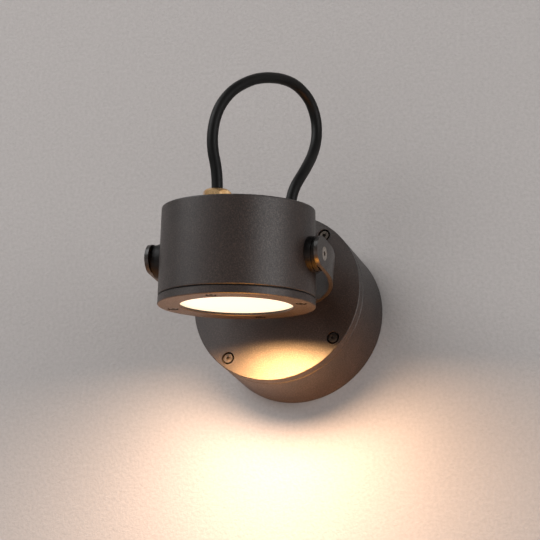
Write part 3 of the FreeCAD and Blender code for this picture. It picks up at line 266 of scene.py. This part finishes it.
def turned_metal(name, light, dark, roughness):
    """Metal as it comes off a lathe or a header, with fine marks and a little haze.

    The marks are finer than 0.1 mm, and are drawn 0.25 mm wide, so that they show."""
    material, tree, place = new_material(name)
    marks = add(
        tree,
        "ShaderNodeTexNoise",
        {"Scale": 1 / (0.25 * MM), "Detail": 2, "Roughness": 0.7},
        {"Vector": place},
    )
    haze = add(
        tree,
        "ShaderNodeTexNoise",
        {"Scale": 1 / (3 * MM), "Detail": 3, "Roughness": 0.5},
        {"Vector": place},
    )
    tone = add(
        tree,
        "ShaderNodeValToRGB",
        links={"Fac": haze.outputs["Fac"]},
        stops=[(0.3, dark), (0.7, light)],
    )
    gloss = add(
        tree,
        "ShaderNodeMapRange",
        {**NOISE_SWING, "To Min": roughness - 0.06, "To Max": roughness + 0.1},
        {"Value": marks.outputs["Fac"]},
    )
    scratches = add(
        tree,
        "ShaderNodeBump",
        {"Strength": 0.4, "Distance": 0.01 * MM},
        {"Height": marks.outputs["Fac"]},
    )
    metal = add(
        tree,
        "ShaderNodeBsdfPrincipled",
        {"Metallic": 1.0},
        {
            "Base Color": tone.outputs["Color"],
            "Roughness": gloss.outputs["Result"],
            "Normal": scratches.outputs["Normal"],
        },
    )
    add(tree, "ShaderNodeOutputMaterial", links={"Surface": metal.outputs["BSDF"]})
    return material


def black_rubber():
    """Extruded chloroprene rubber: nearly black, with a soft sheen and a faint talc bloom."""
    material, tree, place = new_material("extruded_rubber")
    bloom = add(
        tree,
        "ShaderNodeTexNoise",
        {"Scale": 1 / (6 * MM), "Detail": 4, "Roughness": 0.65},
        {"Vector": place},
    )
    grain = add(
        tree,
        "ShaderNodeTexNoise",
        {"Scale": 1 / (0.5 * MM), "Detail": 2, "Roughness": 0.5},
        {"Vector": place},
    )
    tone = add(
        tree,
        "ShaderNodeValToRGB",
        links={"Fac": bloom.outputs["Fac"]},
        stops=[(0.35, "#060505"), (0.7, "#0d0c0b")],
    )
    gloss = add(
        tree,
        "ShaderNodeMapRange",
        {**NOISE_SWING, "To Min": 0.42, "To Max": 0.56},
        {"Value": bloom.outputs["Fac"]},
    )
    dents = add(
        tree,
        "ShaderNodeBump",
        {"Strength": 0.5, "Distance": 0.03 * MM},
        {"Height": grain.outputs["Fac"]},
    )
    rubber = add(
        tree,
        "ShaderNodeBsdfPrincipled",
        {"IOR": 1.5, "Specular IOR Level": 0.18},
        {
            "Base Color": tone.outputs["Color"],
            "Roughness": gloss.outputs["Result"],
            "Normal": dents.outputs["Normal"],
        },
    )
    add(tree, "ShaderNodeOutputMaterial", links={"Surface": rubber.outputs["BSDF"]})
    return material


def moulded_plastic(name, light, dark, roughness, shine=0.5):
    """Injection-moulded plastic with a spark-eroded skin, which takes the glare off it."""
    material, tree, place = new_material(name)
    grain = add(
        tree,
        "ShaderNodeTexNoise",
        {"Scale": 1 / (0.6 * MM), "Detail": 2, "Roughness": 0.5},
        {"Vector": place},
    )
    tone = add(
        tree,
        "ShaderNodeValToRGB",
        links={"Fac": grain.outputs["Fac"]},
        stops=[(0.3, dark), (0.7, light)],
    )
    gloss = add(
        tree,
        "ShaderNodeMapRange",
        {**NOISE_SWING, "To Min": roughness - 0.06, "To Max": roughness + 0.06},
        {"Value": grain.outputs["Fac"]},
    )
    dents = add(
        tree,
        "ShaderNodeBump",
        {"Strength": 0.4, "Distance": 0.02 * MM},
        {"Height": grain.outputs["Fac"]},
    )
    plastic = add(
        tree,
        "ShaderNodeBsdfPrincipled",
        {"IOR": 1.46, "Specular IOR Level": shine},
        {
            "Base Color": tone.outputs["Color"],
            "Roughness": gloss.outputs["Result"],
            "Normal": dents.outputs["Normal"],
        },
    )
    add(tree, "ShaderNodeOutputMaterial", links={"Surface": plastic.outputs["BSDF"]})
    return material


def opal_glass():
    """Satin opal glass, lit from behind: even and nearly white, a little warmer towards its rim."""
    material, tree, place = new_material("satin_opal_glass")
    low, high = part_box("glass_lens")
    from_middle = add(
        tree, "ShaderNodeVectorMath", {1: (low + high) / 2}, {0: place}, operation="SUBTRACT"
    )
    reach = add(
        tree, "ShaderNodeVectorMath", links={0: from_middle.outputs["Vector"]}, operation="LENGTH"
    )
    share = add(
        tree,
        "ShaderNodeMath",
        {1: GLASS_REACH},
        {0: reach.outputs["Value"]},
        operation="DIVIDE",
    )
    glow = add(
        tree,
        "ShaderNodeValToRGB",
        links={"Fac": share.outputs["Value"]},
        stops=[(0.0, "#fffcf2"), (0.85, "#fffaec"), (1.0, "#fff0d4")],
    )
    cloud = add(
        tree,
        "ShaderNodeTexNoise",
        {"Scale": 1 / (2 * MM), "Detail": 3, "Roughness": 0.5},
        {"Vector": place},
    )
    gloss = add(
        tree,
        "ShaderNodeMapRange",
        {**NOISE_SWING, "To Min": 0.3, "To Max": 0.4},
        {"Value": cloud.outputs["Fac"]},
    )
    glass = add(
        tree,
        "ShaderNodeBsdfPrincipled",
        {"Base Color": linear("#8a8884"), "IOR": 1.5, "Emission Strength": 0.9},
        {"Roughness": gloss.outputs["Result"], "Emission Color": glow.outputs["Color"]},
    )
    add(tree, "ShaderNodeOutputMaterial", links={"Surface": glass.outputs["BSDF"]})
    return material


slots = {
    "coated_casting": coated_casting(),
    "coated_steel": coated_steel(),
    "stainless_steel": turned_metal("stainless_steel", "#b4aea6", "#8f8880", 0.34),
    "brass": turned_metal("turned_brass", "#dcb98a", "#b98f5e", 0.3),
    "black_rubber": black_rubber(),
    "opal_glass": opal_glass(),
    "black_nylon": moulded_plastic("moulded_nylon", "#0f0d0c", "#0a0908", 0.5, 0.2),
    "pale_plastic": moulded_plastic("moulded_polycarbonate", "#e4e1d8", "#d8d4ca", 0.45),
    "bare_aluminium": turned_metal("spun_aluminium", "#cfd0d1", "#b7b8ba", 0.3),
    # silicone with yellow phosphor over the LEDs
    "led_phosphor": moulded_plastic("led_phosphor_gel", "#e9c23c", "#d8a92a", 0.35),
}
SUNK_SCREWS = ("cover_screws", "ring_screws")  # painted darker than the pivot screws, as painted shade in their recesses; the pivot screws stand free
# darker steel tones for the sunk screws: painted shade
shaded_steel = turned_metal("stainless_steel_painted_shade", "#625b54", "#463f3a", 0.36)
for row in frame["record"]["subparts"]:
    mesh = nodes[row["node"]].data
    mesh.materials.clear()
    sunk = row["node"] in SUNK_SCREWS
    mesh.materials.append(shaded_steel if sunk else slots[row["material_slot"]])


# ---------------------------------------------------------------- flex

FLEX_SIZE = 7.3 * MM
# The route's points, from the head's gland over the top to the cover's gland, in millimetres.
FLEX_MEETING = (4.75, -96.75, 137)
FLEX_UPPER = [
    (-15, -130.781, 43.895),
    (-15, -132.729, 54.722),
    (-18.5, -138.5, 72),
    (-18, -140, 88),
    (-15, -137.5, 102.5),
    (-9, -129.5, 117),
    (0, -111, 132),
    FLEX_MEETING,
]
FLEX_LOWER = [
    FLEX_MEETING,
    (9.5, -82.5, 142),
    (16.5, -64, 137.5),
    (20, -54.5, 125),
    (21, -53.5, 110),
    (21, -59.5, 95.5),
    (21, -72.5, 79),
    (18, -82, 63),
    (16, -81, 48),
    (15, -71.2, 38),
    (15, -64, 38),
]


def flex_line(name, points):
    """The smooth line of a stretch of flex, as a NURBS curve with no thickness."""
    curve = bpy.data.curves.new(name, "CURVE")
    curve.dimensions = "3D"
    curve.resolution_u = 16
    spline = curve.splines.new("NURBS")
    spline.points.add(len(points) - 1)
    for point, place in zip(spline.points, points):
        point.co = (*(Vector(place) * MM), 1)
    spline.order_u = 3
    spline.use_endpoint_u = True
    return bpy.data.objects.new(name, curve)


def points_along(line):
    """The points that the line's own curve gives, end to end."""
    mesh = bpy.data.meshes.new_from_object(line)
    points = [vertex.co.copy() for vertex in mesh.vertices]
    bpy.data.meshes.remove(mesh)
    return points


def flex_tube(name, points, node):
    """A round, closed tube along points, which takes the node's place, and the path it follows."""
    line = flex_line(name + "_line", points)
    path = points_along(line)
    line.data.bevel_depth = FLEX_SIZE / 2
    line.data.bevel_resolution = 8
    line.data.use_fill_caps = True
    mesh = bpy.data.meshes.new_from_object(line)
    mesh.name = name
    bpy.data.objects.remove(line)
    mesh.shade_smooth()
    mesh.materials.clear()
    mesh.materials.append(slots["black_rubber"])
    tube = bpy.data.objects.new(name, mesh)
    scene.collection.objects.link(tube)
    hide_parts(node)
    return tube, path


def make_flex():
    """Two stretches of one flex, which meet at the top of its loop."""
    upper, upper_path = flex_tube("flex_over_head", FLEX_UPPER, "flex_upper")
    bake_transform(upper)
    lower, lower_path = flex_tube("flex_to_cover", FLEX_LOWER, "flex_lower")
    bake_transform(lower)


make_camera()
make_flex()


# ---------------------------------------------------------------- stage

WALL_COLOUR = "#b7b2b0"
WALL_RADIUS = 3.0
WALL_GAP = 0.1 * MM
FLOOR_HALF_WIDTH = 6
FLOOR_HEIGHT = -1.3
DRUM_RADIUS = (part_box("base_housing")[1].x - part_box("base_housing")[0].x) / 2


def matt_paint(name, one_sided):
    """Pale emulsion paint with the fine mottling of a roller.

    One-sided, it is clear from behind. Otherwise the camera sees it in its own even colour."""
    material, tree, place = new_material(name)
    roller = add(
        tree,
        "ShaderNodeTexNoise",
        {"Scale": 1 / (2.4 * MM), "Detail": 3, "Roughness": 0.6},
        {"Vector": place},
    )
    tone = add(
        tree,
        "ShaderNodeValToRGB",
        links={"Fac": roller.outputs["Fac"]},
        stops=[(0.34, "#b3aeac"), (0.66, "#bbb6b4")],
    )
    stipple = add(
        tree,
        "ShaderNodeBump",
        {"Strength": 0.9, "Distance": 0.5 * MM},
        {"Height": roller.outputs["Fac"]},
    )
    paint = add(
        tree,
        "ShaderNodeBsdfPrincipled",
        {"Roughness": 0.85, "Specular IOR Level": 0.2},
        {"Base Color": tone.outputs["Color"], "Normal": stipple.outputs["Normal"]},
    )
    if one_sided:
        chosen = add(tree, "ShaderNodeNewGeometry").outputs["Backfacing"]
        other = add(tree, "ShaderNodeBsdfTransparent").outputs["BSDF"]
    else:
        chosen = add(tree, "ShaderNodeLightPath").outputs["Is Camera Ray"]
        pale = add(tree, "ShaderNodeEmission", {"Color": linear(WALL_COLOUR), "Strength": 1.0})
        other = pale.outputs["Emission"]
    surface = add(
        tree, "ShaderNodeMixShader", links={0: chosen, 1: paint.outputs["BSDF"], 2: other}
    )
    add(tree, "ShaderNodeOutputMaterial", links={"Surface": surface.outputs["Shader"]})
    return material


def stage_piece(name, build, material):
    mesh = bpy.data.meshes.new(name)
    bm = bmesh.new()
    build(bm)
    bm.to_mesh(mesh)
    bm.free()
    mesh.materials.append(material)
    piece = bpy.data.objects.new(name, mesh)
    scene.collection.objects.link(piece)
    return piece


def build_wall(bm):
    """A wall with an opening behind the drum, which the drum hides, so that its back gets light."""
    turn = Matrix.Rotation(math.radians(90), 4, "X")
    rings = []
    for radius in (DRUM_RADIUS - MM, WALL_RADIUS):
        ring = bmesh.ops.create_circle(
            bm, cap_ends=False, radius=radius, segments=96, matrix=turn
        )
        rings += list({edge for vertex in ring["verts"] for edge in vertex.link_edges})
    bmesh.ops.bridge_loops(bm, edges=rings)
    bmesh.ops.translate(bm, vec=(0, WALL_GAP, 0), verts=bm.verts)
    bmesh.ops.recalc_face_normals(bm, faces=bm.faces)
    if bm.faces[:][0].normal.y > 0:
        bmesh.ops.reverse_faces(bm, faces=bm.faces)


def build_floor(bm):
    bmesh.ops.create_grid(bm, x_segments=1, y_segments=1, size=FLOOR_HALF_WIDTH)
    bmesh.ops.translate(bm, vec=(0, 0, FLOOR_HEIGHT), verts=bm.verts)


STAGE = [
    stage_piece("wall", build_wall, matt_paint("matt_emulsion_wall", one_sided=True)),
    stage_piece("floor", build_floor, matt_paint("matt_emulsion_floor", one_sided=False)),
]


# ---------------------------------------------------------------- light

MIDDLE = (0, -0.06, 0)
# warm white LED light against the camera's daylight, on the pale wall and on the dark object
WALL_LIGHT = (1.0, 0.65, 0.41)
NEAR_LIGHT = (1.0, 0.52, 0.2)
GLOW_LIGHT = (1.0, 0.37, 0.05)
HEAD_TILT = 10.2  # degrees, as photographed
LAMP_SIZE = 70 * MM
LAMP_AHEAD = 4.2 * MM  # from the glass's middle, which is 0.4 mm in front of the ring


def area_light(name, place, target, size, power, colour=(1, 1, 1)):
    data = bpy.data.lights.new(name, "AREA")
    data.shape = "DISK"
    data.size = size
    data.energy = power
    data.color = colour
    light = bpy.data.objects.new(name, data)
    scene.collection.objects.link(light)
    light.location = place
    light.rotation_euler = (Vector(target) - Vector(place)).to_track_quat("-Z", "Y").to_euler()
    return light


def light_only(light, name, pieces):
    """Keeps a light's effect to some pieces, and its disc out of the camera's sight."""
    group = bpy.data.collections.get(name) or bpy.data.collections.new(name)
    for piece in pieces:
        if piece.name not in group.objects:
            group.objects.link(piece)
    light.light_linking.receiver_collection = group
    light.visible_camera = False


def make_lamp():
    """The light that leaves the glass, just in front of the ring, which moves with the head.

    One lamp lights the wall and one the object, because the photograph holds back the light on the
    wall more than the light on the dark cover, which is much nearer to the glass."""
    tilt = math.radians(HEAD_TILT)
    along = Vector((0, math.sin(tilt), -math.cos(tilt)))
    low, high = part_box("glass_lens")
    place = (low + high) / 2 + along * LAMP_AHEAD
    wall_lamp = area_light("wall_lamp", place, place + along, LAMP_SIZE, 1.05, WALL_LIGHT)
    wall_lamp.data.spread = math.radians(168)
    light_only(wall_lamp, "stage_pieces", STAGE)
    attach(wall_lamp, "head")
    near_lamp = area_light("near_lamp", place, place + along, LAMP_SIZE, 2.3, NEAR_LIGHT)
    near_lamp.data.spread = math.radians(148)
    light_only(near_lamp, "object_pieces", OBJECT)
    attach(near_lamp, "head")


def make_world():
    """Dim, even light from all round, which the camera sees in the wall's colour."""
    world = bpy.data.worlds.new("studio")
    scene.world = world
    world.use_nodes = True
    tree = world.node_tree
    tree.nodes.clear()
    path = add(tree, "ShaderNodeLightPath")
    room = add(tree, "ShaderNodeBackground", {"Color": linear("#f4f2f0"), "Strength": 0.27})
    shown = add(tree, "ShaderNodeBackground", {"Color": linear(WALL_COLOUR), "Strength": 1.0})
    seen = add(
        tree,
        "ShaderNodeMixShader",
        links={
            0: path.outputs["Is Camera Ray"],
            1: room.outputs["Background"],
            2: shown.outputs["Background"],
        },
    )
    add(tree, "ShaderNodeOutputWorld", links={"Surface": seen.outputs["Shader"]})


OBJECT = [piece for piece in bpy.data.objects if piece.type == "MESH" and piece not in STAGE]
area_light("window_light", (-1.7, -1.5, 1.5), MIDDLE, 2.4, 55)
area_light("side_light", (1.9, -0.9, 0.3), MIDDLE, 1.6, 20)
area_light("low_light", (-0.4, -1.6, -1.1), MIDDLE, 1.6, 6)
area_light("back_light", (0.5, 1.8, 0.7), MIDDLE, 1.4, 26)
# stands for the warm light that the lit wall sends back up, and doesn't move with the head
glow = area_light("glow_light", (0.05, -0.1, -0.4), (0, -0.1, 0), 0.3, 5.0, GLOW_LIGHT)
light_only(glow, "object_pieces", OBJECT)
make_lamp()
make_world()
scene.view_settings.view_transform = "Standard"
